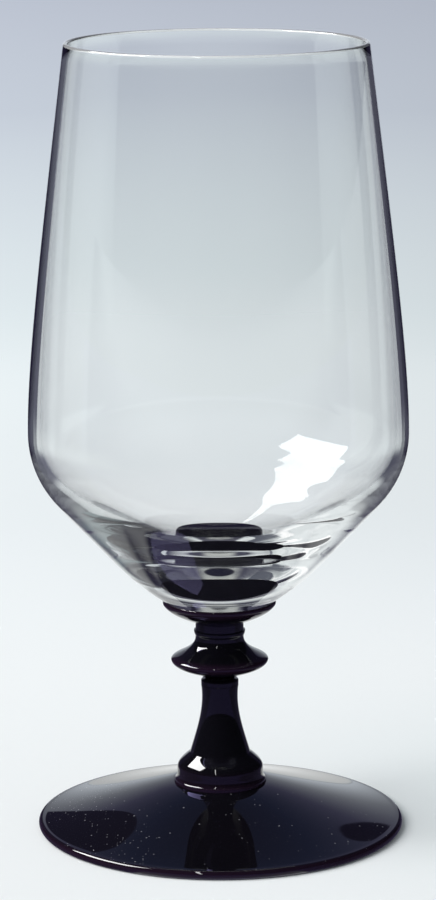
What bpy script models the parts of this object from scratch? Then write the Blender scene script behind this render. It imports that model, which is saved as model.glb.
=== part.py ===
"""Iced tea glass: a clear blown bowl on a black stem, built up from five gathers of glass.

Every gather is a turned solid about +Z. They stand on each other on flat seats, and the heights
are stacked from the table upwards: foot, stem, knop, collar, bowl. Profiles are lists of (radius,
height) points in millimetres, each counted from its own gather's lowest level.
"""
import math

import bpy

MM = 0.001

# Shared by all the gathers
JOINT_GAP = 0.3           # clearance between two seats that are fused on the real glass
FACETS = 48               # flats round each turned solid
MERGE_DISTANCE = 0.00001  # metres

# Foot: a broad, shallow cone with a hollowed underside
FOOT_RADIUS = 41.4
FOOT_EDGE = 2.0           # thickness of the rounded edge
FOOT_RISE = 8.1           # from the top of the edge to the seat
FOOT_CROWN_ANGLE = 8.0    # fall of the top beside the seat, degrees
FOOT_CROWN_REACH = 4.0    # how far that fall is held
FOOT_BRIM_ANGLE = 12.0    # fall of the top at the edge, degrees
FOOT_BRIM_REACH = 10.0
FOOT_RING_WIDTH = 4.6     # flat ring that rests on the table
FOOT_HOLLOW = 2.4         # depth of the hollow underneath

# Stem: flanged base ring, then a trumpet taper up to a slim waist
SEAT_RADIUS = 10.5        # flange of the base ring, and the seat on the foot
FLANGE_LIP = 0.4
RING_RADIUS = 9.75
RING_COVE_HEIGHT = 1.6    # hollow curve between flange and ring
RING_SIDE_HEIGHT = 1.15   # upright side of the ring
RING_CROWN_HEIGHT = 3.5   # rounded top of the ring
RING_CROWN_ANGLE = 40.0   # fall of the crown where the taper stands on it, degrees
RING_CROWN_REACH = 1.25
TAPER_FOOT_RADIUS = 6.85
TAPER_FOOT_LEAN = 17.0    # lean of the taper where it leaves the ring, degrees
TAPER_FOOT_REACH = 6.3
TAPER_HEIGHT = 15.85
STEM_TOP_RADIUS = 4.25
STEM_TOP_LEAN = 7.0       # outward lean above the waist, degrees
STEM_TOP_REACH = 5.4

# Knop: a flattened bead on a small grooved foot, with a neck drawn out above it
KNOP_RADIUS = 11.0
KNOP_FOOT_RADIUS = 4.25
KNOP_FOOT_HEIGHT = 0.55   # upright side of the foot
KNOP_FOOT_ROUND = 0.5     # height of its rounded shoulder
KNOP_GROOVE = 0.85        # depth of the groove between the foot and the bead
KNOP_GROOVE_REACH = 1.45  # how far the groove keeps upright before the bead flares out
KNOP_UNDER_HEIGHT = 5.55  # from the seat up to the widest line
KNOP_UNDER_REACH = 2.25   # how far the side keeps upright below the widest line
KNOP_OVER_HEIGHT = 5.1    # from the widest line up to the neck
KNOP_OVER_REACH = 1.15
NECK_RADIUS = 5.5
NECK_FLARE_REACH = 3.0    # how far the neck keeps upright before it flares to the bead
NECK_HEIGHT = 1.85
NECK_REACH = 0.8
NECK_TOP_RADIUS = 5.8

# Collar: a small saucer that carries the bowl
COLLAR_FOOT_RADIUS = 5.45
COLLAR_FOOT_HEIGHT = 1.4
COLLAR_RADIUS = 12.8
COLLAR_SIDE_HEIGHT = 4.4
COLLAR_FLARE_ANGLE = 31.0  # climb where the saucer leaves its foot, degrees
COLLAR_FLARE_REACH = 1.4
COLLAR_SIDE_ANGLE = 71.5   # climb at the saucer's rim, degrees
COLLAR_SIDE_REACH = 2.15
COLLAR_RIM_HEIGHT = 0.5    # rounded turn from the side to the seat
BOWL_SEAT_RADIUS = 12.5    # fused disc between the collar and the bowl

# Bowl: a heavy base, a cone, a round shoulder and a wall that draws in to the rim
BASE_CURVE = 65.0         # radius of the swell above the seat
BASE_ANGLE = 33.8         # climb of the outside at the seat, degrees
CONE_ANGLE = 46.8         # climb of the cone, degrees
SHOULDER_RADIUS = 22.8
BELLY_RADIUS = 42.55
BELLY_REACH = 16.8        # how far the wall keeps upright above the belly
WALL_HEIGHT = 86.75       # from the belly to the rim
RIM_RADIUS = 33.6
RIM_LEAN = 7.0            # inward lean at the rim, degrees
RIM_REACH = 36.7          # how far the lean at the rim runs down the wall
RIM_WALL = 1.1
BELLY_WALL = 2.6
BASE_GLASS = 7.38         # solid glass between the seat and the floor of the bowl
DISH_RADIUS = 33.4        # curve of the bowl's floor
DISH_ANGLE = 43.3         # climb where the floor turns up into the wall, degrees
DISH_REACH = 7.9
LINING_REACH = 12.2       # how far the inside keeps upright below the belly

# Points along each kind of run
LONG_STEPS = 9
CURVE_STEPS = 7
SHORT_STEPS = 4
ROUND_STEPS = 3

# Colours of the two glasses, and their finish
CLEAR_GLASS = (0.86, 0.89, 0.88, 1.0)
BLACK_GLASS = (0.008, 0.007, 0.014, 1.0)
CLEAR_ROUGHNESS = 0.02
BLACK_ROUGHNESS = 0.04
GLASS_IOR = 1.52

# Headings in a profile, degrees above the outward horizontal, a quarter turn apart
UP = math.degrees(math.tau / 4)
INWARD = UP + UP
DOWN = INWARD + UP


def heading(angle):
    """Unit step (radius, height) at an angle above the outward horizontal, in degrees."""
    return math.cos(math.radians(angle)), math.sin(math.radians(angle))


def rising_arc(start, angle_from, angle_to, radius, steps):
    """Arc that leaves start at angle_from and turns up to angle_to, outwards and upwards."""
    c0, s0 = heading(angle_from)
    points = []
    for i in range(steps + 1):
        c, s = heading(angle_from + (angle_to - angle_from) * i / steps)
        points.append((start[0] + radius * (s - s0), start[1] + radius * (c0 - c)))
    return points


def sweep(start, angle_from, reach_from, end, angle_to, reach_to, steps):
    """Cubic curve from start to end with the given headings, each held over its reach."""
    c0, s0 = heading(angle_from)
    c1, s1 = heading(angle_to)
    guide_0 = (start[0] + reach_from * c0, start[1] + reach_from * s0)
    guide_1 = (end[0] - reach_to * c1, end[1] - reach_to * s1)
    points = []
    for i in range(steps + 1):
        t = i / steps
        u = 1.0 - t
        weighted = ((u ** 3, start), (3 * u * u * t, guide_0), (3 * u * t * t, guide_1), (t ** 3, end))
        points.append(tuple(sum(w * p[axis] for w, p in weighted) for axis in (0, 1)))
    return points


def oval_turn(start, end, steps):
    """Quarter oval that leaves start straight up or down, bulges and arrives at end level."""
    points = []
    for i in range(steps + 1):
        c, s = heading(UP * i / steps)
        points.append((end[0] + (start[0] - end[0]) * c, start[1] + (end[1] - start[1]) * s))
    return points


def backwards(run):
    return list(reversed(run))


def joined(*runs):
    """One profile from runs that meet end to end, with each shared point kept once."""
    profile = [runs[0][0]]
    for run in runs:
        for point in run:
            if math.dist(point, profile[-1]) * MM > MERGE_DISTANCE:
                profile.append(point)
    return profile


def glass_material(name, colour, roughness, transmission):
    material = bpy.data.materials.new(name)
    material.use_nodes = True
    shader = material.node_tree.nodes["Principled BSDF"]
    shader.inputs["Base Color"].default_value = colour
    shader.inputs["Roughness"].default_value = roughness
    shader.inputs["Metallic"].default_value = 0.0
    shader.inputs["IOR"].default_value = GLASS_IOR
    shader.inputs["Transmission Weight"].default_value = transmission
    material.diffuse_color = colour
    return material


def turned(name, profile, bottom, material):
    """Solid turned from a profile that runs from the top down, set at height bottom."""
    mesh = bpy.data.meshes.new(name)
    points = [(r * MM, 0.0, z * MM) for r, z in profile]
    edges = [(i, i + 1) for i in range(len(points) - 1)]
    mesh.from_pydata(points, edges, [])
    mesh.materials.append(material)
    piece = bpy.data.objects.new(name, mesh)
    piece.location.z = bottom * MM
    screw = piece.modifiers.new("Turn", "SCREW")
    screw.axis = "Z"
    screw.angle = math.tau
    screw.steps = FACETS
    screw.render_steps = FACETS
    screw.use_merge_vertices = True
    screw.merge_threshold = MERGE_DISTANCE
    screw.use_smooth_shade = True
    glass.objects.link(piece)


def foot_profile():
    edge_round = FOOT_EDGE / 2
    edge = (FOOT_RADIUS, edge_round)
    brim = (FOOT_RADIUS - edge_round, FOOT_EDGE)
    ring_outer = (FOOT_RADIUS - edge_round, 0.0)
    ring_inner = (ring_outer[0] - FOOT_RING_WIDTH, 0.0)
    seat = (SEAT_RADIUS, FOOT_EDGE + FOOT_RISE)
    top = sweep(seat, -FOOT_CROWN_ANGLE, FOOT_CROWN_REACH, brim, -FOOT_BRIM_ANGLE, FOOT_BRIM_REACH,
                LONG_STEPS)
    upper_edge = backwards(oval_turn(edge, brim, ROUND_STEPS))
    lower_edge = oval_turn(edge, ring_outer, ROUND_STEPS)
    hollow = oval_turn(ring_inner, (0.0, FOOT_HOLLOW), CURVE_STEPS)
    return joined([(0.0, seat[1])], top, upper_edge, lower_edge, hollow)


def stem_profile():
    lip = (SEAT_RADIUS, FLANGE_LIP)
    cove_top = (RING_RADIUS, FLANGE_LIP + RING_COVE_HEIGHT)
    side_top = (RING_RADIUS, cove_top[1] + RING_SIDE_HEIGHT)
    crown = (TAPER_FOOT_RADIUS, side_top[1] + RING_CROWN_HEIGHT)
    top = (STEM_TOP_RADIUS, crown[1] + TAPER_HEIGHT)
    taper = sweep(top, DOWN - STEM_TOP_LEAN, STEM_TOP_REACH, crown, DOWN + TAPER_FOOT_LEAN,
                  TAPER_FOOT_REACH, LONG_STEPS)
    ring = sweep(crown, -RING_CROWN_ANGLE, RING_CROWN_REACH, side_top, DOWN, RING_CROWN_REACH,
                 CURVE_STEPS)
    cove = oval_turn(cove_top, lip, SHORT_STEPS)
    return joined([(0.0, top[1])], taper, ring, cove, [(SEAT_RADIUS, 0.0), (0.0, 0.0)])


def knop_profile():
    foot = (KNOP_FOOT_RADIUS, KNOP_FOOT_HEIGHT)
    groove = (KNOP_FOOT_RADIUS - KNOP_GROOVE, KNOP_FOOT_HEIGHT + KNOP_FOOT_ROUND)
    rim = (KNOP_RADIUS, KNOP_UNDER_HEIGHT)
    neck = (NECK_RADIUS, rim[1] + KNOP_OVER_HEIGHT)
    top = (NECK_TOP_RADIUS, neck[1] + NECK_HEIGHT)
    throat = sweep(top, DOWN, NECK_REACH, neck, DOWN, NECK_REACH, ROUND_STEPS)
    over = sweep(neck, DOWN, NECK_FLARE_REACH, rim, DOWN, KNOP_OVER_REACH, LONG_STEPS)
    under = sweep(rim, DOWN, KNOP_UNDER_REACH, groove, DOWN, KNOP_GROOVE_REACH, LONG_STEPS)
    shoulder = backwards(oval_turn(foot, groove, ROUND_STEPS))
    return joined([(0.0, top[1])], throat, over, under, shoulder, [(KNOP_FOOT_RADIUS, 0.0), (0.0, 0.0)])


def collar_profile():
    throat = (COLLAR_FOOT_RADIUS, COLLAR_FOOT_HEIGHT)
    rim = (COLLAR_RADIUS, COLLAR_FOOT_HEIGHT + COLLAR_SIDE_HEIGHT)
    seat = (BOWL_SEAT_RADIUS, rim[1] + COLLAR_RIM_HEIGHT)
    turn = backwards(oval_turn(rim, seat, ROUND_STEPS))
    saucer = sweep(rim, INWARD + COLLAR_SIDE_ANGLE, COLLAR_SIDE_REACH, throat,
                   INWARD + COLLAR_FLARE_ANGLE, COLLAR_FLARE_REACH, LONG_STEPS)
    return joined([(0.0, seat[1])], turn, saucer, [(COLLAR_FOOT_RADIUS, 0.0), (0.0, 0.0)])


def bowl_profile():
    # Outside, climbing from the seat to the rim
    seat = (BOWL_SEAT_RADIUS, 0.0)
    swell = rising_arc(seat, BASE_ANGLE, CONE_ANGLE, BASE_CURVE, SHORT_STEPS)
    run, climb = heading(CONE_ANGLE)
    cone_top_radius = BELLY_RADIUS - SHOULDER_RADIUS * (1.0 - climb)
    cone_height = (cone_top_radius - swell[-1][0]) * climb / run
    cone_top = (cone_top_radius, swell[-1][1] + cone_height)
    shoulder = rising_arc(cone_top, CONE_ANGLE, UP, SHOULDER_RADIUS, CURVE_STEPS)
    belly = shoulder[-1]
    lip_round = RIM_WALL / 2
    rim = (RIM_RADIUS, belly[1] + WALL_HEIGHT - lip_round)
    wall = sweep(belly, UP, BELLY_REACH, rim, UP + RIM_LEAN, RIM_REACH, LONG_STEPS)
    # Over the rounded lip
    rim_inside = (RIM_RADIUS - RIM_WALL, rim[1])
    lip_top = (RIM_RADIUS - lip_round, rim[1] + lip_round)
    lip_out = oval_turn(rim, lip_top, ROUND_STEPS)
    lip_in = backwards(oval_turn(rim_inside, lip_top, ROUND_STEPS))
    # Inside, down the wall and across the dished floor
    belly_inside = (BELLY_RADIUS - BELLY_WALL, belly[1])
    lining = sweep(rim_inside, DOWN + RIM_LEAN, RIM_REACH, belly_inside, DOWN, BELLY_REACH, LONG_STEPS)
    dish = rising_arc((0.0, BASE_GLASS), 0.0, DISH_ANGLE, DISH_RADIUS, CURVE_STEPS)
    turn = sweep(dish[-1], DISH_ANGLE, DISH_REACH, belly_inside, UP, LINING_REACH, LONG_STEPS)
    climbing = joined([(0.0, 0.0)], swell, shoulder, wall, lip_out, lip_in)
    falling = joined(lining, backwards(turn), backwards(dish))
    return backwards(joined(climbing, falling))


for leftover in list(bpy.data.objects):
    bpy.data.objects.remove(leftover)

glass = bpy.data.collections.new("iced_tea_glass")
bpy.context.scene.collection.children.link(glass)

clear = glass_material("clear_glass", CLEAR_GLASS, CLEAR_ROUGHNESS, 1.0)
black = glass_material("black_glass", BLACK_GLASS, BLACK_ROUGHNESS, 0.0)

height = 0.0
for name, profile, material in (
        ("foot", foot_profile(), black),
        ("stem", stem_profile(), black),
        ("knop", knop_profile(), black),
        ("collar", collar_profile(), black),
        ("bowl", bowl_profile(), clear)):
    turned(name, profile, height, material)
    height += max(z for r, z in profile) + JOINT_GAP

print("Overall height", round(height - JOINT_GAP, 2), "mm")
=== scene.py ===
import math

import bpy
import numpy as np
from mathutils import Matrix, Vector


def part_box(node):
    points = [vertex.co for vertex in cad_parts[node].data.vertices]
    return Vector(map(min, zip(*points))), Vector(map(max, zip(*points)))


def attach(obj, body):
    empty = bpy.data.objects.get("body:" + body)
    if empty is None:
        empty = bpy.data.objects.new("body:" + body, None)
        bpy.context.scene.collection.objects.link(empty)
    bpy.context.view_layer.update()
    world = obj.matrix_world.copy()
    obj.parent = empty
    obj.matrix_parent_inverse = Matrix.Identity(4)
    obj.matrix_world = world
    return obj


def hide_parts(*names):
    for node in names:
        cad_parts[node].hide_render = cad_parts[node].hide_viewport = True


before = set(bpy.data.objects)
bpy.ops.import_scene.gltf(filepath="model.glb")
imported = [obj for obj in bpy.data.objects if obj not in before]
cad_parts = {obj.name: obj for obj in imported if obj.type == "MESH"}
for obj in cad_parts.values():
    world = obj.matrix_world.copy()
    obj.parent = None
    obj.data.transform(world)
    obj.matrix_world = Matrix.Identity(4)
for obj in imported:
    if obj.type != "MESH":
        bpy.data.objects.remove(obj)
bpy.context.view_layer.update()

mm = 0.001
body = "root"

# headings in a profile, degrees above the outward horizontal
level = 0.0
up = 90.0
inward = 180.0
down = 270.0

# every turned surface uses these
turning = {
    "sides": 224,        # points round the axis
    "longRun": 36,       # points along a long curve
    "shortRun": 14,
    "roundRun": 6,
    "sharpAbove": 28.0,  # degrees; a crease steeper than this keeps its edge
    "touch": 0.05,       # mm that one gather is sunk into the next, so no air shows between them
}


def heading(angle):
    return np.array([math.cos(math.radians(angle)), math.sin(math.radians(angle))])


# cubic curve from start to end, leaving and arriving along headings that each hold over a reach
def sweep(start, angleFrom, reachFrom, end, angleTo, reachTo, count):
    t = np.linspace(0.0, 1.0, count + 1)[:, None]
    u = 1.0 - t
    first, last = np.array(start), np.array(end)
    guideA = first + reachFrom * heading(angleFrom)
    guideB = last - reachTo * heading(angleTo)
    return u**3 * first + 3 * u * u * t * guideA + 3 * u * t * t * guideB + t**3 * last


# circle arc that leaves start at one heading and turns upwards to another
def climbingArc(start, angleFrom, angleTo, radius, count):
    a = np.radians(np.linspace(angleFrom, angleTo, count + 1))
    r = start[0] + radius * (np.sin(a) - np.sin(a[0]))
    z = start[1] + radius * (np.cos(a[0]) - np.cos(a))
    return np.stack([r, z], axis=1)


# quarter oval that leaves start upright, bulges and arrives at end level
def ovalTurn(start, end, count):
    a = np.linspace(0.0, math.pi / 2, count + 1)
    r = end[0] + (start[0] - end[0]) * np.cos(a)
    z = start[1] + (end[1] - start[1]) * np.sin(a)
    return np.stack([r, z], axis=1)


# rounded edge between a level face at corner's height and an upright side at its radius
def easedEdge(corner, size, count):
    return ovalTurn((corner[0], corner[1] - size), (corner[0] - size, corner[1]), count)[::-1]


def joinRuns(*runs):
    line = np.concatenate([np.atleast_2d(np.array(run, float)) for run in runs])
    apart = np.linalg.norm(np.diff(line, axis=0), axis=1) > 0.001
    return line[np.concatenate([[True], apart])]


# x = r cos a, y = r sin a, z = z: a profile (r, z) from the axis back to the axis, carried once round it
def turnProfile(name, profile, *materials):
    sides = turning["sides"]
    r, z = profile[1:-1, 0:1] * mm, profile[1:-1, 1:2] * mm
    a = np.linspace(0.0, 2 * math.pi, sides, endpoint=False)[None, :]
    grid = np.stack([r * np.cos(a), r * np.sin(a), z + 0 * a], axis=2).reshape(-1, 3)
    ends = np.array([[0, 0, profile[0, 1]], [0, 0, profile[-1, 1]]]) * mm
    points = np.concatenate([grid, ends])
    here = np.arange(len(grid)).reshape(-1, sides)
    beside = np.roll(here, -1, axis=1)
    bands = np.stack([here[:-1], here[1:], beside[1:], beside[:-1]], axis=2).reshape(-1, 4)
    firstPole, lastPole = np.full(sides, len(grid)), np.full(sides, len(grid) + 1)
    capA = np.stack([firstPole, here[0], beside[0]], axis=1)
    capB = np.stack([lastPole, beside[-1], here[-1]], axis=1)
    mesh = bpy.data.meshes.new(name)
    mesh.from_pydata(points.tolist(), [], bands.tolist() + capA.tolist() + capB.tolist())
    mesh.shade_smooth()
    mesh.set_sharp_from_angle(angle=math.radians(turning["sharpAbove"]))
    for material in materials:
        mesh.materials.append(material)
    piece = bpy.data.objects.new(name, mesh)
    bpy.context.scene.collection.objects.link(piece)
    return piece


# stores 0 to 1 at each point: how thin the glass is there, so how much amethyst shows in the black
def markThinEdge(piece, radius, band):
    co = np.empty(len(piece.data.vertices) * 3, np.float32)
    piece.data.vertices.foreach_get("co", co)
    co = co.reshape(-1, 3) / mm
    share = np.clip((np.hypot(co[:, 0], co[:, 1]) - radius + band) / band, 0.0, 1.0)
    mark = piece.data.attributes.new("thinEdge", "FLOAT", "POINT")
    mark.data.foreach_set("value", (share * share * (3 - 2 * share)).astype(np.float32))


def span(node):
    low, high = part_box(node)
    return low.z / mm, high.z / mm, high.x / mm   # bottom, top, widest radius


def finishPiece(piece, node):
    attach(piece, body)
    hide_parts(node)
    print("made", piece.name, len(piece.data.polygons), "faces")


# fills a node's sockets: a socket is linked, a value is set
def fillSockets(tree, made, sockets):
    for name, value in sockets.items():
        if isinstance(value, bpy.types.NodeSocket):
            tree.links.new(value, made.inputs[name])
        else:
            made.inputs[name].default_value = value
    return made


def put(tree, kind, sockets=None, **settings):
    made = tree.nodes.new("ShaderNode" + kind)
    for name, value in settings.items():
        setattr(made, name, value)
    return fillSockets(tree, made, sockets or {})


def useGroup(tree, group, sockets):
    made = tree.nodes.new("ShaderNodeGroup")
    made.node_tree = group
    return fillSockets(tree, made, sockets).outputs


def newMaterial(name):
    material = bpy.data.materials.new(name)
    material.use_nodes = True
    material.node_tree.nodes.clear()
    return material, material.node_tree


def newGroup(name, inputs, outputs):
    tree = bpy.data.node_groups.new(name, "ShaderNodeTree")
    for label, kind, value in inputs:
        made = tree.interface.new_socket(label, in_out="INPUT", socket_type="NodeSocket" + kind)
        made.default_value = value
    for label, kind in outputs:
        tree.interface.new_socket(label, in_out="OUTPUT", socket_type="NodeSocket" + kind)
    return tree, tree.nodes.new("NodeGroupInput"), tree.nodes.new("NodeGroupOutput")


def blend(tree, share, first, second):
    return put(tree, "Mix", {0: share, 6: first, 7: second}, data_type="RGBA").outputs[2]


def calc(tree, operation, *values):
    return put(tree, "Math", dict(enumerate(values)), operation=operation).outputs[0]


# shares from 0 to 1: where both hold, where either holds, and where one doesn't
def both(tree, first, second):
    return calc(tree, "MULTIPLY", first, second)


def either(tree, first, second):
    return calc(tree, "MAXIMUM", first, second)


def without(tree, share):
    return calc(tree, "SUBTRACT", 1.0, share)


# a value carried from its limits to a pair of results in a straight line, and held beyond them
def remap(tree, value, limits, results=(0.0, 1.0)):
    return put(tree, "MapRange", {"Value": value, "From Min": limits[0], "From Max": limits[1],
                                  "To Min": results[0], "To Max": results[1]}).outputs[0]


# 0 at the first limit and 1 at the second, with a smooth start and end
def ease(tree, value, limits):
    return put(tree, "MapRange", {"Value": value, "From Min": limits[0], "From Max": limits[1]},
               interpolation_type="SMOOTHSTEP").outputs[0]


# 1 between a soft start and a soft end
def easeBetween(tree, value, start, end):
    return both(tree, ease(tree, value, start), ease(tree, value, end))


# colour by value, from a list of (position, colour)
def rampOf(tree, value, stops):
    ramp = put(tree, "ValToRGB", {"Fac": value})
    elements = ramp.color_ramp.elements
    elements[0].position, elements[0].color = stops[0]
    elements[1].position, elements[1].color = stops[-1]
    for position, colour in stops[1:-1]:
        elements.new(position).color = colour
    return ramp.outputs["Color"]


# what making and use leave on the glass
marks = {
    "slowScale": 18.0,              # slow change of tone
    "speckCore": 0.05,              # solid middle of a speck, and how wide it gets, in cells
    "speckWidths": (0.14, 0.46),
    "patchShare": (0.36, 0.62),     # where the patch pattern turns from clean to dusty
    "dustySide": (-0.012, -0.024),  # along X, metres: the left of the foot took most dust
    "dustElsewhere": 0.07,
    "dustLies": (0.75, 0.95),       # how far a face has to look up
    "filmShare": (0.4, 0.75),
    "filmRoughness": 0.65,          # of the smear pattern, and how far it is stirred
    "filmStir": 0.6,
}


# faint uprights and slow waves that blowing leaves in glass
def makeBlownRipple():
    group, given, result = newGroup(
        "blownRipple",
        [("Scale", "Float", 40.0), ("Stretch", "Float", 0.15)],
        [("Height", "Float"), ("Drift", "Float")])
    place = put(group, "TexCoord").outputs["Object"]
    squeeze = put(group, "CombineXYZ", {"X": 1.0, "Y": 1.0, "Z": given.outputs["Stretch"]}).outputs[0]
    drawn = put(group, "VectorMath", {0: place, 1: squeeze}, operation="MULTIPLY").outputs[0]
    wave = put(group, "TexNoise", {"Vector": drawn, "Scale": given.outputs["Scale"], "Detail": 1.0})
    slow = put(group, "TexNoise", {"Vector": place, "Scale": marks["slowScale"], "Detail": 2.0})
    group.links.new(wave.outputs["Fac"], result.inputs["Height"])
    group.links.new(slow.outputs["Fac"], result.inputs["Drift"])
    return group


# specks of dust on faces that look up: a few cells of a fine cell pattern, thicker in some patches
def makeSettledDust():
    group, given, result = newGroup(
        "settledDust",
        [("Grain", "Float", 1700.0), ("Amount", "Float", 0.1), ("Patch", "Float", 38.0)],
        [("Speck", "Float")])
    place = put(group, "TexCoord").outputs["Object"]
    cell = put(group, "TexVoronoi", {"Vector": place, "Scale": given.outputs["Grain"]})
    lots = put(group, "SeparateColor", {"Color": cell.outputs["Color"]})
    lot, width = lots.outputs[0], lots.outputs[1]
    widest = remap(group, width, (0.0, 1.0), marks["speckWidths"])
    dot = remap(group, cell.outputs["Distance"], (marks["speckCore"], widest), (1.0, 0.0))
    patch = put(group, "TexNoise", {"Vector": place, "Scale": given.outputs["Patch"], "Detail": 2.0})
    thick = remap(group, patch.outputs["Fac"], marks["patchShare"])
    across = put(group, "SeparateXYZ", {0: place}).outputs["X"]
    sided = remap(group, across, marks["dustySide"], (marks["dustElsewhere"], 1.0))
    share = both(group, thick, both(group, sided, given.outputs["Amount"]))
    chosen = calc(group, "LESS_THAN", lot, share)
    upright = put(group, "SeparateXYZ", {0: put(group, "NewGeometry").outputs["Normal"]}).outputs["Z"]
    resting = both(group, both(group, dot, chosen), remap(group, upright, marks["dustLies"]))
    group.links.new(resting, result.inputs["Speck"])
    return group


# smears that a cloth and fingers leave, as a slow pattern from 0 to 1
def makeWipedFilm():
    group, given, result = newGroup(
        "wipedFilm", [("Scale", "Float", 60.0)], [("Film", "Float")])
    place = put(group, "TexCoord").outputs["Object"]
    smear = put(group, "TexNoise", {
        "Vector": place, "Scale": given.outputs["Scale"], "Detail": 4.0,
        "Roughness": marks["filmRoughness"], "Distortion": marks["filmStir"]})
    film = remap(group, smear.outputs["Fac"], marks["filmShare"])
    group.links.new(film, result.inputs["Film"])
    return group


blownRipple = makeBlownRipple()
settledDust = makeSettledDust()
wipedFilm = makeWipedFilm()

clearGlass = {
    "tint": (0.985, 0.995, 0.99, 1.0),
    "paleTint": (1.0, 1.0, 1.0, 1.0),
    "lampTint": (0.93, 0.95, 0.95, 1.0),  # what the glass leaves of the lamp's light in its shadow
    "roughness": 0.0,
    "ior": 1.515,
    "rippleScale": 45.0,
    "rippleStretch": 0.12,
    "rippleDepth": 0.000012,              # metres
    "clearness": 1.0,
    "lipClearness": 0.72,                 # painted highlight: the lip is made a little pale to stand for the thin light lines along the rim
    "lipDepth": 0.9,                      # mm below the rim
}


def makeClearGlass(name, clearness):
    material, tree = newMaterial(name)
    ripple = useGroup(tree, blownRipple, {"Scale": clearGlass["rippleScale"],
                                          "Stretch": clearGlass["rippleStretch"]})
    bump = put(tree, "Bump", {"Height": ripple["Height"], "Strength": 1.0,
                              "Distance": clearGlass["rippleDepth"]}).outputs[0]
    tone = blend(tree, ripple["Drift"], clearGlass["tint"], clearGlass["paleTint"])
    glass = put(tree, "BsdfPrincipled", {
        "Base Color": tone, "Normal": bump, "Roughness": clearGlass["roughness"], "IOR": clearGlass["ior"],
        "Transmission Weight": clearness})
    lampThrough = put(tree, "BsdfTransparent", {"Color": clearGlass["lampTint"]})
    shadowRay = put(tree, "LightPath").outputs["Is Shadow Ray"]
    mixed = put(tree, "MixShader", {0: shadowRay, 1: glass.outputs[0], 2: lampThrough.outputs[0]})
    put(tree, "OutputMaterial", {"Surface": mixed.outputs[0]})
    return material


blackGlass = {
    "black": (0.0034, 0.0036, 0.0054, 1.0),
    "blackWarm": (0.0044, 0.0035, 0.0056, 1.0),
    "amethyst": (0.012, 0.0055, 0.013, 1.0),  # shows where the glass is thin
    "dustColour": (0.24, 0.24, 0.26, 1.0),
    "stemDust": 0.05,
    "footDust": 0.6,
    "roughness": 0.015,
    "filmScale": 70.0,
    "filmRoughness": 0.05,
    "dustRoughness": 0.6,
    "ior": 1.52,
    "rippleScale": 90.0,
    "rippleStretch": 0.5,
    "rippleDepth": 0.000015,                  # metres
    "fusedPaler": 2.2,                        # the fused face against the bare black
}


# the black gather's own tone and its ripple
def blackBase(tree):
    ripple = useGroup(tree, blownRipple, {"Scale": blackGlass["rippleScale"],
                                          "Stretch": blackGlass["rippleStretch"]})
    return blend(tree, ripple["Drift"], blackGlass["black"], blackGlass["blackWarm"]), ripple["Height"]


def makeBlackGlass(name, dustAmount):
    material, tree = newMaterial(name)
    dark, height = blackBase(tree)
    film = useGroup(tree, wipedFilm, {"Scale": blackGlass["filmScale"]})["Film"]
    dust = useGroup(tree, settledDust, {"Amount": dustAmount})["Speck"]
    thin = put(tree, "Attribute", attribute_name="thinEdge").outputs["Fac"]
    edged = blend(tree, thin, dark, blackGlass["amethyst"])
    dusty = blend(tree, dust, edged, blackGlass["dustColour"])
    wiped = remap(tree, film, (0.0, 1.0), (blackGlass["roughness"], blackGlass["filmRoughness"]))
    rough = put(tree, "Mix", {0: dust, 2: wiped, 3: blackGlass["dustRoughness"]},
                data_type="FLOAT").outputs[0]
    bump = put(tree, "Bump", {"Height": height, "Strength": 1.0,
                              "Distance": blackGlass["rippleDepth"]}).outputs[0]
    glass = put(tree, "BsdfPrincipled", {
        "Base Color": dusty, "Roughness": rough, "Normal": bump, "IOR": blackGlass["ior"]})
    put(tree, "OutputMaterial", {"Surface": glass.outputs[0]})
    return material


# the face where the black gather is fused into the clear base: no air there, so no shine of its own
def makeFusedFace():
    material, tree = newMaterial("fusedFace")
    dark = blackBase(tree)[0]
    pale = put(tree, "VectorMath", {0: dark, "Scale": blackGlass["fusedPaler"]}, operation="SCALE").outputs[0]
    face = put(tree, "BsdfPrincipled", {"Base Color": pale, "Roughness": 1.0, "Specular IOR Level": 0.0})
    put(tree, "OutputMaterial", {"Surface": face.outputs[0]})
    return material


clearGlassMaterial = makeClearGlass("clearGlass", clearGlass["clearness"])
# the lip's glass, made paler as a painted highlight
paintedHighlightLipMaterial = makeClearGlass("paintedHighlightLip", clearGlass["lipClearness"])
stemBlackMaterial = makeBlackGlass("blackGlass", blackGlass["stemDust"])
footBlackMaterial = makeBlackGlass("blackGlassDusty", blackGlass["footDust"])
fusedFaceMaterial = makeFusedFace()
print("glass materials ready")

# bowl; lengths of every piece in mm
bowlShape = {
    "seatRadius": 12.5,
    "baseCurve": 65.0,       # radius of the swell above the seat
    "baseAngle": 33.8,       # climb at the seat, degrees
    "coneAngle": 46.8,
    "shoulderRadius": 22.8,
    "bellyReach": 16.8,
    "rimRadius": 33.6,
    "rimLean": 7.0,
    "rimReach": 36.7,
    "rimWall": 1.1,
    "bellyWall": 2.6,
    "baseGlass": 7.38,       # clear glass between the seat and the floor of the bowl
    "dishRadius": 33.4,
    "dishAngle": 43.3,
    "dishReach": 7.9,
    "liningReach": 12.2,
}


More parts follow.
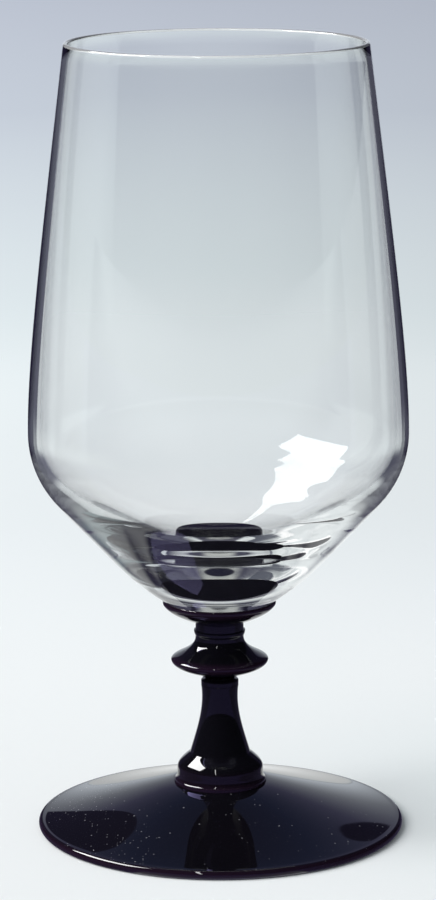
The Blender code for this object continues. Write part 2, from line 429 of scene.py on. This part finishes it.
def bowlProfile(shape):
    bottom, top, bellyRadius = span("bowl")
    many, few, tiny = turning["longRun"], turning["shortRun"], turning["roundRun"]
    seat = (shape["seatRadius"], bottom)
    swell = climbingArc(seat, shape["baseAngle"], shape["coneAngle"], shape["baseCurve"], few)
    run, climb = heading(shape["coneAngle"])
    coneTopRadius = bellyRadius - shape["shoulderRadius"] * (1.0 - climb)
    coneTop = (coneTopRadius, swell[-1, 1] + (coneTopRadius - swell[-1, 0]) * climb / run)
    cone = np.linspace(swell[-1], coneTop, few)
    shoulder = climbingArc(coneTop, shape["coneAngle"], up, shape["shoulderRadius"], many)
    belly = shoulder[-1]
    lipRound = shape["rimWall"] / 2
    rim = (shape["rimRadius"], top - lipRound)
    wall = sweep(belly, up, shape["bellyReach"], rim, up + shape["rimLean"], shape["rimReach"], many)
    lipTop = (shape["rimRadius"] - lipRound, top)
    rimInside = (shape["rimRadius"] - shape["rimWall"], rim[1])
    lipOut = ovalTurn(rim, lipTop, tiny)
    lipIn = ovalTurn(rimInside, lipTop, tiny)[::-1]
    bellyInside = (bellyRadius - shape["bellyWall"], belly[1])
    lining = sweep(rimInside, down + shape["rimLean"], shape["rimReach"], bellyInside, down,
                   shape["bellyReach"], many)
    dish = climbingArc((0.0, bottom + shape["baseGlass"]), level, shape["dishAngle"],
                       shape["dishRadius"], many)
    turn = sweep(dish[-1], shape["dishAngle"], shape["dishReach"], bellyInside, up,
                 shape["liningReach"], many)
    outside = joinRuns([(0.0, bottom)], swell, cone, shoulder, wall, lipOut, lipIn)
    inside = joinRuns(lining, turn[::-1], dish[::-1])
    return joinRuns(outside, inside)[::-1]


# gives the faces above a height the piece's second material
def markAbove(piece, height):
    centres = np.empty(len(piece.data.polygons) * 3, np.float32)
    piece.data.polygons.foreach_get("center", centres)
    above = centres.reshape(-1, 3)[:, 2] > height * mm
    piece.data.polygons.foreach_set("material_index", above.astype(np.int32))


bowl = turnProfile("clearBowl", bowlProfile(bowlShape), clearGlassMaterial, paintedHighlightLipMaterial)
# faces just below the rim take the paler lip glass, a painted highlight
markAbove(bowl, span("bowl")[1] - clearGlass["lipDepth"])
finishPiece(bowl, "bowl")

# collar
collarShape = {
    "footRadius": 5.45,
    "footHeight": 1.4,
    "flareAngle": 31.0,
    "flareReach": 1.4,
    "sideAngle": 71.5,
    "sideReach": 2.15,
    "rimHeight": 0.5,
    "edgeBand": 1.6,        # width of the rim that shows amethyst
}


def collarProfile(shape):
    bottom, top, radius = span("collar")
    bowlBottom, knopTop = span("bowl")[0], span("knop")[1]
    many, tiny = turning["longRun"], turning["roundRun"]
    seatRadius = bowlShape["seatRadius"]
    throat = (shape["footRadius"], bottom + shape["footHeight"])
    rim = (radius, top - shape["rimHeight"])
    turn = ovalTurn(rim, (seatRadius, bowlBottom), tiny)[::-1]
    saucer = sweep(rim, inward + shape["sideAngle"], shape["sideReach"], throat,
                   inward + shape["flareAngle"], shape["flareReach"], many)
    fused = bowlBottom + turning["touch"]
    sunk = knopTop - turning["touch"]
    return joinRuns([(0.0, fused), (seatRadius - turning["touch"], fused)], turn, saucer,
                    [(shape["footRadius"], sunk), (0.0, sunk)])


collar = turnProfile("blackCollar", collarProfile(collarShape), stemBlackMaterial, fusedFaceMaterial)
markThinEdge(collar, span("collar")[2], collarShape["edgeBand"])
markAbove(collar, span("bowl")[0] + turning["touch"] / 2)
finishPiece(collar, "collar")

# knop
knopShape = {
    "footRadius": 4.25,
    "footHeight": 0.55,
    "footRound": 0.5,
    "groove": 0.85,         # depth of the groove above the foot
    "grooveReach": 1.45,
    "underHeight": 5.55,
    "underReach": 2.25,
    "overHeight": 5.1,
    "overReach": 1.15,
    "neckRadius": 5.5,
    "neckFlareReach": 3.0,
    "neckReach": 0.8,
    "neckTopRadius": 5.8,
    "neckEdge": 0.25,       # rounding of the step under the collar
    "edgeBand": 1.8,
}


def knopProfile(shape):
    bottom, top, radius = span("knop")
    stemTop = span("stem")[1]
    many, few, tiny = turning["longRun"], turning["shortRun"], turning["roundRun"]
    foot = (shape["footRadius"], bottom + shape["footHeight"])
    groove = (shape["footRadius"] - shape["groove"], foot[1] + shape["footRound"])
    rim = (radius, bottom + shape["underHeight"])
    neck = (shape["neckRadius"], rim[1] + shape["overHeight"])
    edge = easedEdge((shape["neckTopRadius"], top), shape["neckEdge"], tiny)
    throat = sweep(edge[-1], down, shape["neckReach"], neck, down, shape["neckReach"], few)
    over = sweep(neck, down, shape["neckFlareReach"], rim, down, shape["overReach"], many)
    under = sweep(rim, down, shape["underReach"], groove, down, shape["grooveReach"], many)
    shoulder = ovalTurn(foot, groove, tiny)[::-1]
    sunk = stemTop - turning["touch"]
    return joinRuns([(0.0, top)], edge, throat, over, under, shoulder,
                    [(shape["footRadius"], sunk), (0.0, sunk)])


knop = turnProfile("blackKnop", knopProfile(knopShape), stemBlackMaterial)
markThinEdge(knop, span("knop")[2], knopShape["edgeBand"])
finishPiece(knop, "knop")

# stem
stemShape = {
    "topRadius": 4.25,
    "topEdge": 0.2,
    "topLean": 7.0,
    "topReach": 5.4,
    "taperFootRadius": 6.85,
    "taperFootLean": 17.0,
    "taperFootReach": 6.3,
    "crownHeight": 3.5,
    "crownAngle": 40.0,
    "crownReach": 1.25,
    "sideHeight": 1.15,
    "ringRadius": 9.75,
    "coveHeight": 1.6,
    "lipHeight": 0.4,
    "edgeBand": 1.2,
}


def stemProfile(shape):
    bottom, top, seatRadius = span("stem")
    footTop = span("foot")[1]
    many, few, tiny = turning["longRun"], turning["shortRun"], turning["roundRun"]
    lip = (seatRadius, bottom + shape["lipHeight"])
    coveTop = (shape["ringRadius"], lip[1] + shape["coveHeight"])
    sideTop = (shape["ringRadius"], coveTop[1] + shape["sideHeight"])
    crown = (shape["taperFootRadius"], sideTop[1] + shape["crownHeight"])
    edge = easedEdge((shape["topRadius"], top), shape["topEdge"], tiny)
    taper = sweep(edge[-1], down - shape["topLean"], shape["topReach"], crown, down + shape["taperFootLean"],
                  shape["taperFootReach"], many)
    ring = sweep(crown, -shape["crownAngle"], shape["crownReach"], sideTop, down, shape["crownReach"], many)
    cove = ovalTurn(coveTop, lip, few)
    sunk = footTop - turning["touch"]
    return joinRuns([(0.0, top)], edge, taper, ring, cove, [(seatRadius, sunk), (0.0, sunk)])


stem = turnProfile("blackStem", stemProfile(stemShape), stemBlackMaterial)
markThinEdge(stem, span("stem")[2], stemShape["edgeBand"])
finishPiece(stem, "stem")

# foot
footShape = {
    "edge": 2.0,            # thickness at the rim
    "crownAngle": 8.0,      # fall of the top beside the stem, degrees
    "crownReach": 4.0,
    "brimAngle": 12.0,      # fall of the top at the rim
    "brimReach": 10.0,
    "ringWidth": 4.6,       # flat ring on the table
    "hollow": 2.4,
    "edgeBand": 1.0,
}


def footProfile(shape):
    bottom, top, radius = span("foot")
    seatRadius = span("stem")[2]
    many, few = turning["longRun"], turning["shortRun"]
    edgeRound = shape["edge"] / 2
    edge = (radius, bottom + edgeRound)
    brim = (radius - edgeRound, bottom + shape["edge"])
    ringOuter = (radius - edgeRound, bottom)
    ringInner = (ringOuter[0] - shape["ringWidth"], bottom)
    crown = sweep((seatRadius, top), -shape["crownAngle"], shape["crownReach"], brim, -shape["brimAngle"],
                  shape["brimReach"], many)
    upperEdge = ovalTurn(edge, brim, few)[::-1]
    lowerEdge = ovalTurn(edge, ringOuter, few)
    hollow = ovalTurn(ringInner, (0.0, bottom + shape["hollow"]), many)
    return joinRuns([(0.0, top)], crown, upperEdge, lowerEdge, hollow)


foot = turnProfile("blackFoot", footProfile(footShape), footBlackMaterial)
markThinEdge(foot, span("foot")[2], footShape["edgeBand"])
finishPiece(foot, "foot")

# where the picture is taken from
viewpoint = {
    "location": (-0.00014, -0.7754, 0.2484),
    "tilt": 11.769,      # degrees below the horizon
    "roll": -0.30,
    "fieldOfView": 14.471,
    "clipStart": 0.05,
}

# table and studio
studio = {
    "tableSize": 4.0,                        # half side, metres
    "tableDrop": 0.0001,
    # painted light: the four tones, pale near the glass and darker further off, are a painted pool of light
    # and its fall-off
    "paleTable": (0.868, 0.889, 0.890, 1.0),
    "midTable": (0.70, 0.77, 0.80, 1.0),
    "farTable": (0.53, 0.58, 0.655, 1.0),
    "farthestTable": (0.475, 0.515, 0.60, 1.0),
    "fallAcross": 1.1,                       # painted shade: how much darker the far table gets towards the right
    "riseAcross": 0.7,                       # painted light: how much paler the near table gets towards the right
    "liftBehind": 0.115,                     # painted light: how much paler it is behind the glass
    "litWithin": (0.22, 0.60),               # from the lamp's light to a painted tone, radius
    "fill": (0.28, 0.298, 0.315, 1.0),
    "dark": (0.01, 0.01, 0.015, 1.0),
    # the set as the glass mirrors it: pale only behind the glass, black cards elsewhere
    "paleStrip": 0.015,                      # half width of the pale strip beside the glass
    "stripSpread": 0.20,                     # how fast it widens towards the back
    "cardColour": (0.07, 0.06, 0.12, 1.0),
    "frontColour": (0.12, 0.10, 0.27, 1.0),
    "leftFar": (0.70, 0.75, 0.76, 1.0),
    "rightFar": (0.55, 0.59, 0.61, 1.0),
    # the same as light turned back inside the clear glass meets it
    "leftInside": (0.17, 0.18, 0.22, 1.0),
    "rightInside": (0.07, 0.075, 0.10, 1.0),
    "nearInside": (0.75, 0.80, 0.81, 1.0),
    "frontInside": (0.03, 0.025, 0.07, 1.0),
    "middleInside": (0.10, 0.10, 0.13, 1.0),
    "farFront": (1.0, 1.05, 1.05, 1.0),      # the table half a metre in front
    "farFrontLoss": -0.7,                    # for light that also crossed the bowl's hollow
    "leftWall": (0.74, 0.79, 0.80, 1.0),
    "rightWall": (0.015, 0.015, 0.025, 1.0),
    "farRightWall": (0.19, 0.24, 0.25, 1.0),
    "highAside": (0.07, 0.07, 0.11, 1.0),
    "frontRoom": (0.30, 0.32, 0.34, 1.0),
    # black cards that stand upright just out of the picture, left and right behind the glass
    "cardBehind": 0.15,
    "leftCard": (-0.0655, -0.140),           # near and far edge
    "rightCard": (0.072, 0.128),
    "cardHeight": 0.24,
    "cardBlack": (0.03, 0.026, 0.06, 1.0),
    "leftCardInside": (0.12, 0.13, 0.16, 1.0),
    "rightCardInside": (0.08, 0.085, 0.105, 1.0),
    "aimHeight": 0.06,                       # lamp and panels face this height of the glass
}
# the lamp that lights the set, and a smaller panel near it that is what the glass mirrors
keyLamp = {
    "direction": (-0.70, -0.15, 0.70),
    "longAxis": (-0.13, 0.96, -0.26),
    "distance": 1.0,
    "width": 0.75,
    "length": 1.0,
    "radiance": 5.5,
}
keyPanel = {
    "direction": (-0.70, 0.10, 0.70),
    "longAxis": (-0.13, 0.96, -0.26),
    "distance": 1.0,
    "width": 0.36,
    "length": 0.76,
    "mirrored": (20.0, 20.0, 20.0, 1.0),
    "twice": (7.0, 6.5, 13.0, 1.0),
    "acrossHollow": (11.0, 11.0, 11.0, 1.0),  # mirrored once across the hollow of the bowl
    "within": (1.32, 1.32, 1.32, 1.0),        # mirrored within its base and wall
}
# a narrow strip overhead
overheadStrip = {
    "direction": (-0.19, -0.55, 0.81),
    "longAxis": (0.05, 0.75, 0.55),
    "distance": 1.0,
    "width": 0.03,
    "length": 1.2,
    "mirrored": (12.0, 12.0, 12.0, 1.0),
    "twice": (0.1, 0.1, 0.15, 1.0),
    "acrossHollow": (0.1, 0.1, 0.15, 1.0),
    "within": (0.1, 0.1, 0.15, 1.0),
}
# where the table's tones change: metres along Y and X, metres from the axis, or how flat a ray meets it
tableZones = {
    "fade": (0.0, 2.4),                  # radius
    "toneStops": (0.06, 0.30, 0.62, 1.0),
    "mottleScale": 9.0,
    "mottleDepth": 0.03,
    "leastDepth": 0.5,                   # from the camera, along Y
    "widestBearing": 0.07,
    "slopeTurns": (0.15, 0.6),           # Y, where the right turns from paler to darker
    "slopeStarts": (-0.40, -0.10),
    "liftStarts": (-0.06, 0.28),
    "liftEnds": (0.75, 0.35),
    "stripStart": 0.05,                  # the pale strip begins this far in front of the axis
    "stripLeast": 0.001,
    "stripSoftness": 1.6,
    "front": (-0.030, -0.045),           # Y
    "notInFront": (-0.045, -0.03),
    "slantStarts": (0.052, 0.062),       # radius
    "slantEnds": (0.15, 0.11),
    "slantGlance": (0.50, 0.35),         # 0 straight down, 1 level
    "plumbStarts": (0.042, 0.046),       # radius
    "plumbEnds": (0.075, 0.060),
    "plumbGlance": (0.24, 0.14),
    "farOut": (0.28, 0.42),              # radius
    "notFarFront": (-0.30, -0.10),
    "farAcross": (-0.2, 0.2),            # X
    "farFrontStarts": (-0.15, -0.65),
    "farFrontEnds": (-4.0, -0.4),
    "bowlGlance": (0.84, 0.80),
    "insideAcross": (-0.04, 0.04),       # X
    "insideNear": (0.135, 0.175),        # radius
}
# where the room's tones change, as parts of a ray's direction: X to the right, Y to the back, Z up
roomZones = {
    "behind": (0.0, 0.5),
    "notAside": (0.45, 0.28),
    "farRight": (0.9, 0.97),
    "highRight": (0.45, 0.6),
    "low": (0.5, 0.3),
    "offMiddle": (0.12, 0.24),
    "high": (0.50, 0.56),
    "right": (0.25, 0.5),
    "left": (-0.35, -0.6),
    "frontStarts": (-0.1, 0.45),
    "frontEnds": (0.78, 0.6),
    "notFront": (-0.3, 0.0),
}
# the room behind the glass: how high a ray climbs (0 level, 1 straight up) and what it meets
outerRoom = [
    (0.0, (0.85, 0.92, 1.0, 1.0)),
    (0.20, (0.46, 0.49, 0.56, 1.0)),
    (0.42, (0.19, 0.19, 0.32, 1.0)),
    (0.65, (0.066, 0.086, 0.19, 1.0)),
    (1.0, (0.01, 0.01, 0.02, 1.0)),
]
# the same for light turned back inside the clear glass
innerRoom = [
    (0.0, (0.82, 0.86, 0.86, 1.0)),
    (0.20, (0.50, 0.53, 0.55, 1.0)),
    (0.36, (0.08, 0.08, 0.11, 1.0)),
    (0.42, (0.015, 0.015, 0.03, 1.0)),
    (0.532, (0.015, 0.015, 0.03, 1.0)),
    (0.555, (0.42, 0.44, 0.43, 1.0)),
    (0.84, (0.58, 0.60, 0.58, 1.0)),
    (0.945, (0.58, 0.60, 0.58, 1.0)),
    (0.962, (0.04, 0.04, 0.06, 1.0)),
    (1.0, (0.04, 0.04, 0.06, 1.0)),
]


def atLeast(tree, depth, count):
    return calc(tree, "GREATER_THAN", depth, count - 0.5)


# what a ray has met: was it mirrored, has it entered the clear glass, has it also crossed the bowl's hollow
def rayStory(tree):
    path = put(tree, "LightPath").outputs
    mirrored = atLeast(tree, path["Glossy Depth"], 1)
    inside = atLeast(tree, path["Transmission Depth"], 1)
    crossed = atLeast(tree, path["Transmission Depth"], 4)
    return path, mirrored, inside, crossed


# the table's tones, painted light and shade: paler near the glass, darker further off, and slanting from left
# to right, with a faint mottle
def tablePaintedLight(tree, place, across, back, away):
    zones = tableZones
    mottle = put(tree, "TexNoise", {"Vector": place, "Scale": zones["mottleScale"], "Detail": 3.0})
    uneven = calc(tree, "MULTIPLY_ADD", mottle.outputs["Fac"], zones["mottleDepth"], away)
    tones = [studio["paleTable"], studio["midTable"], studio["farTable"], studio["farthestTable"]]
    evenly = rampOf(tree, remap(tree, uneven, zones["fade"]), list(zip(zones["toneStops"], tones)))
    fromCamera = calc(tree, "SUBTRACT", back, viewpoint["location"][1])
    depth = calc(tree, "MAXIMUM", fromCamera, zones["leastDepth"])
    bearing = put(tree, "Clamp", {"Value": calc(tree, "DIVIDE", across, depth),
                                  "Min": -zones["widestBearing"], "Max": zones["widestBearing"]}).outputs[0]
    change = -studio["fallAcross"] - studio["riseAcross"]
    turned = ease(tree, back, zones["slopeTurns"])
    slope = calc(tree, "MULTIPLY_ADD", turned, change, studio["riseAcross"])
    fall = both(tree, slope, ease(tree, back, zones["slopeStarts"]))
    # painted light: a little paler behind the glass, where the lamp reaches less
    behind = easeBetween(tree, back, zones["liftStarts"], zones["liftEnds"])
    lifted = calc(tree, "MULTIPLY_ADD", behind, studio["liftBehind"], 1.0)
    factor = calc(tree, "MULTIPLY_ADD", bearing, fall, lifted)
    return put(tree, "VectorMath", {0: evenly, "Scale": factor}, operation="SCALE").outputs[0]


# what mirrored light meets on the table: where the cards cover it, and their tones
def tableCards(tree, across, back, away, inside, crossed):
    zones = tableZones
    glance = put(tree, "LayerWeight", {"Blend": 0.5}).outputs["Facing"]
    beside = calc(tree, "SUBTRACT", calc(tree, "ABSOLUTE", across), studio["paleStrip"])
    reach = calc(tree, "MAXIMUM", calc(tree, "ADD", back, zones["stripStart"]), zones["stripLeast"])
    spread = studio["stripSpread"]
    offStrip = ease(tree, calc(tree, "DIVIDE", beside, reach), (spread, spread * zones["stripSoftness"]))
    inFront = ease(tree, back, zones["front"])
    # close to the foot the table is still pale where it is looked at steeply
    slantRing = easeBetween(tree, away, zones["slantStarts"], zones["slantEnds"])
    slanting = both(tree, ease(tree, glance, zones["slantGlance"]), slantRing)
    plumbRing = easeBetween(tree, away, zones["plumbStarts"], zones["plumbEnds"])
    plumb = both(tree, ease(tree, glance, zones["plumbGlance"]), plumbRing)
    steep = both(tree, either(tree, slanting, plumb), without(tree, inside))
    notSteep = without(tree, both(tree, steep, ease(tree, back, zones["notInFront"])))
    carded = both(tree, either(tree, offStrip, inFront), notSteep)
    # the far sides, which only the bowl mirrors
    farSide = both(tree, ease(tree, away, zones["farOut"]), ease(tree, back, zones["notFarFront"]))
    farTone = blend(tree, ease(tree, across, zones["farAcross"]), studio["leftFar"], studio["rightFar"])
    card = blend(tree, inFront, studio["cardColour"], studio["frontColour"])
    outerCard = blend(tree, both(tree, farSide, ease(tree, glance, zones["bowlGlance"])), card, farTone)
    # the same for light turned back inside the clear glass
    farBand = easeBetween(tree, back, zones["farFrontStarts"], zones["farFrontEnds"])
    farFront = both(tree, farBand, calc(tree, "MULTIPLY_ADD", crossed, studio["farFrontLoss"], 1.0))
    rightwards = ease(tree, across, zones["insideAcross"])
    midSides = blend(tree, rightwards, studio["leftInside"], studio["rightInside"])
    nearSides = blend(tree, ease(tree, away, zones["insideNear"]), studio["nearInside"], midSides)
    innerSides = blend(tree, farSide, nearSides, farTone)
    innerFront = blend(tree, farFront, studio["frontInside"], studio["farFront"])
    innerCard = blend(tree, inFront, innerSides, innerFront)
    return carded, blend(tree, inside, outerCard, innerCard)


def makeTableMaterial():
    material, tree = newMaterial("paleTable")
    place = put(tree, "TexCoord").outputs["Object"]
    along = put(tree, "SeparateXYZ", {0: place})
    across, back = along.outputs["X"], along.outputs["Y"]
    away = put(tree, "VectorMath", {0: place}, operation="LENGTH").outputs["Value"]
    path, mirrored, inside, crossed = rayStory(tree)
    pale = tablePaintedLight(tree, place, across, back, away)
    carded, cards = tableCards(tree, across, back, away, inside, crossed)
    strip = blend(tree, both(tree, inside, mirrored), pale, studio["middleInside"])
    seen = blend(tree, both(tree, carded, mirrored), strip, cards)
    lit = put(tree, "BsdfDiffuse", {"Color": seen})
    painted = put(tree, "Emission", {"Color": seen, "Strength": 1.0})
    looked = either(tree, path["Is Camera Ray"], path["Is Glossy Ray"])
    viewed = either(tree, looked, path["Is Transmission Ray"])
    outer = ease(tree, away, studio["litWithin"])
    share = both(tree, either(tree, outer, mirrored), viewed)
    mixed = put(tree, "MixShader", {0: share, 1: lit.outputs[0], 2: painted.outputs[0]})
    put(tree, "OutputMaterial", {"Surface": mixed.outputs[0]})
    material.cycles.emission_sampling = "NONE"
    return material


def stageQuad(name, corners, material):
    mesh = bpy.data.meshes.new(name)
    mesh.from_pydata(corners, [], [(0, 1, 2, 3)])
    mesh.materials.append(material)
    quad = bpy.data.objects.new(name, mesh)
    bpy.context.scene.collection.objects.link(quad)
    return quad


def makeTable():
    s, z = studio["tableSize"], -studio["tableDrop"]
    stageQuad("table", [(-s, -s, z), (s, -s, z), (s, s, z), (-s, s, z)], makeTableMaterial())


# what light turned back inside the clear glass meets in the room
def innerRoomTone(tree, aim, crossed):
    x, y, z = aim["X"], aim["Y"], aim["Z"]
    zones = roomZones
    right = blend(tree, ease(tree, x, zones["farRight"]), studio["rightWall"], studio["farRightWall"])
    lowRight = blend(tree, ease(tree, z, zones["highRight"]), right, studio["dark"])
    # rays that also crossed the hollow of the bowl see the low part of the room as dark
    lowDown = both(tree, crossed, ease(tree, z, zones["low"]))
    lowMiddle = blend(tree, lowDown, rampOf(tree, z, innerRoom), studio["rightWall"])
    offMiddle = ease(tree, calc(tree, "ABSOLUTE", x), zones["offMiddle"])
    highAside = both(tree, offMiddle, ease(tree, z, zones["high"]))
    middle = blend(tree, highAside, lowMiddle, studio["highAside"])
    rightwards = blend(tree, ease(tree, x, zones["right"]), middle, lowRight)
    leftwards = blend(tree, ease(tree, x, zones["left"]), rightwards, studio["leftWall"])
    frontLight = easeBetween(tree, z, zones["frontStarts"], zones["frontEnds"])
    frontRoom = blend(tree, frontLight, studio["dark"], studio["frontRoom"])
    return blend(tree, ease(tree, y, zones["notFront"]), frontRoom, leftwards)


def makeRoom():
    world = bpy.data.worlds.new("room")
    bpy.context.scene.world = world
    world.use_nodes = True
    world.cycles.sampling_method = "NONE"
    tree = world.node_tree
    tree.nodes.clear()
    path, mirrored, inside, crossed = rayStory(tree)
    aim = put(tree, "SeparateXYZ", {0: put(tree, "TexCoord").outputs["Generated"]}).outputs
    notAside = ease(tree, calc(tree, "ABSOLUTE", aim["X"]), roomZones["notAside"])
    behind = both(tree, ease(tree, aim["Y"], roomZones["behind"]), notAside)
    outside = blend(tree, behind, studio["dark"], rampOf(tree, aim["Z"], outerRoom))
    within = innerRoomTone(tree, aim, crossed)
    unseen = blend(tree, mirrored, studio["fill"], blend(tree, inside, outside, within))
    through = both(tree, path["Is Transmission Ray"], without(tree, mirrored))
    viewed = either(tree, path["Is Camera Ray"], through)
    shown = blend(tree, viewed, unseen, studio["farthestTable"])
    put(tree, "OutputWorld", {"Surface": put(tree, "Background", {"Color": shown}).outputs[0]})


# centre and two half sides of a rectangle that faces the glass from a direction
def facing(sheet):
    towards, longAxis = Vector(sheet["direction"]).normalized(), Vector(sheet["longAxis"])
    longSide = (longAxis - towards * towards.dot(longAxis)).normalized()
    centre = Vector((0.0, 0.0, studio["aimHeight"])) + towards * sheet["distance"]
    return centre, longSide.cross(towards) * sheet["width"] / 2, longSide * sheet["length"] / 2


# a stage face that only mirrored light meets
def mirroredFace(name, corners, material, tree, tone, mirrored):
    glow = put(tree, "Emission", {"Color": tone, "Strength": 1.0})
    clear = put(tree, "BsdfTransparent")
    mixed = put(tree, "MixShader", {0: mirrored, 1: clear.outputs[0], 2: glow.outputs[0]})
    put(tree, "OutputMaterial", {"Surface": mixed.outputs[0]})
    material.cycles.emission_sampling = "NONE"
    face = stageQuad(name, corners, material)
    face.visible_camera = False
    face.visible_diffuse = False
    face.visible_shadow = False


# a bright panel, dimmer where it is mirrored twice or inside the clear glass
def makePanel(name, panel):
    material, tree = newMaterial(name)
    path, mirrored, inside, crossed = rayStory(tree)
    again = atLeast(tree, path["Glossy Depth"], 2)
    outerGlow = blend(tree, again, panel["mirrored"], panel["twice"])
    once = both(tree, crossed, without(tree, again))
    innerGlow = blend(tree, once, panel["within"], panel["acrossHollow"])
    centre, across, along = facing(panel)
    corners = [centre - across - along, centre + across - along,
               centre + across + along, centre - across + along]
    mirroredFace(name, corners, material, tree, blend(tree, inside, outerGlow, innerGlow), mirrored)


# an upright black card
def makeCard(name, edges, inner):
    material, tree = newMaterial(name)
    mirrored, inside = rayStory(tree)[1:3]
    y, top = studio["cardBehind"], studio["cardHeight"]
    corners = [(edges[0], y, 0.0), (edges[1], y, 0.0), (edges[1], y, top), (edges[0], y, top)]
    mirroredFace(name, corners, material, tree, blend(tree, inside, studio["cardBlack"], inner), mirrored)


# soft light of a given brightness: power is radiance times area times pi
def makeSoftLight(name, sheet):
    lamp = bpy.data.lights.new(name, "AREA")
    lamp.shape = "RECTANGLE"
    lamp.size, lamp.size_y = sheet["width"], sheet["length"]
    lamp.energy = sheet["radiance"] * math.pi * sheet["width"] * sheet["length"]
    light = bpy.data.objects.new(name, lamp)
    centre, across, along = facing(sheet)
    towards = Vector(sheet["direction"]).normalized()
    turned = Matrix((across.normalized(), along.normalized(), towards)).transposed()
    light.matrix_world = Matrix.Translation(centre) @ turned.to_4x4()
    bpy.context.scene.collection.objects.link(light)
    light.visible_camera = False
    light.visible_glossy = False
    light.visible_transmission = False


makeTable()
makeRoom()
makeSoftLight("keySoftbox", keyLamp)
makePanel("keyPanel", keyPanel)
makePanel("overheadStrip", overheadStrip)
makeCard("leftBlackCard", studio["leftCard"], studio["leftCardInside"])
makeCard("rightBlackCard", studio["rightCard"], studio["rightCardInside"])
print("studio ready")

# camera
camera = bpy.data.cameras.new("camera")
camera.lens = camera.sensor_width / 2 / math.tan(math.radians(viewpoint["fieldOfView"]) / 2)
camera.clip_start = viewpoint["clipStart"]
cameraObject = bpy.data.objects.new("camera", camera)
cameraObject.location = viewpoint["location"]
cameraObject.rotation_euler = (math.radians(90.0 - viewpoint["tilt"]), 0.0, 0.0)
cameraObject.rotation_euler.rotate_axis("Z", math.radians(viewpoint["roll"]))
bpy.context.scene.collection.objects.link(cameraObject)
bpy.context.scene.camera = cameraObject

# light is led a long way inside the thick base and the wall
bounces = {"all": 44, "transmission": 20, "glossy": 32}
scene = bpy.context.scene
scene.view_settings.view_transform = "Standard"
scene.cycles.max_bounces = bounces["all"]
scene.cycles.transmission_bounces = bounces["transmission"]
scene.cycles.glossy_bounces = bounces["glossy"]
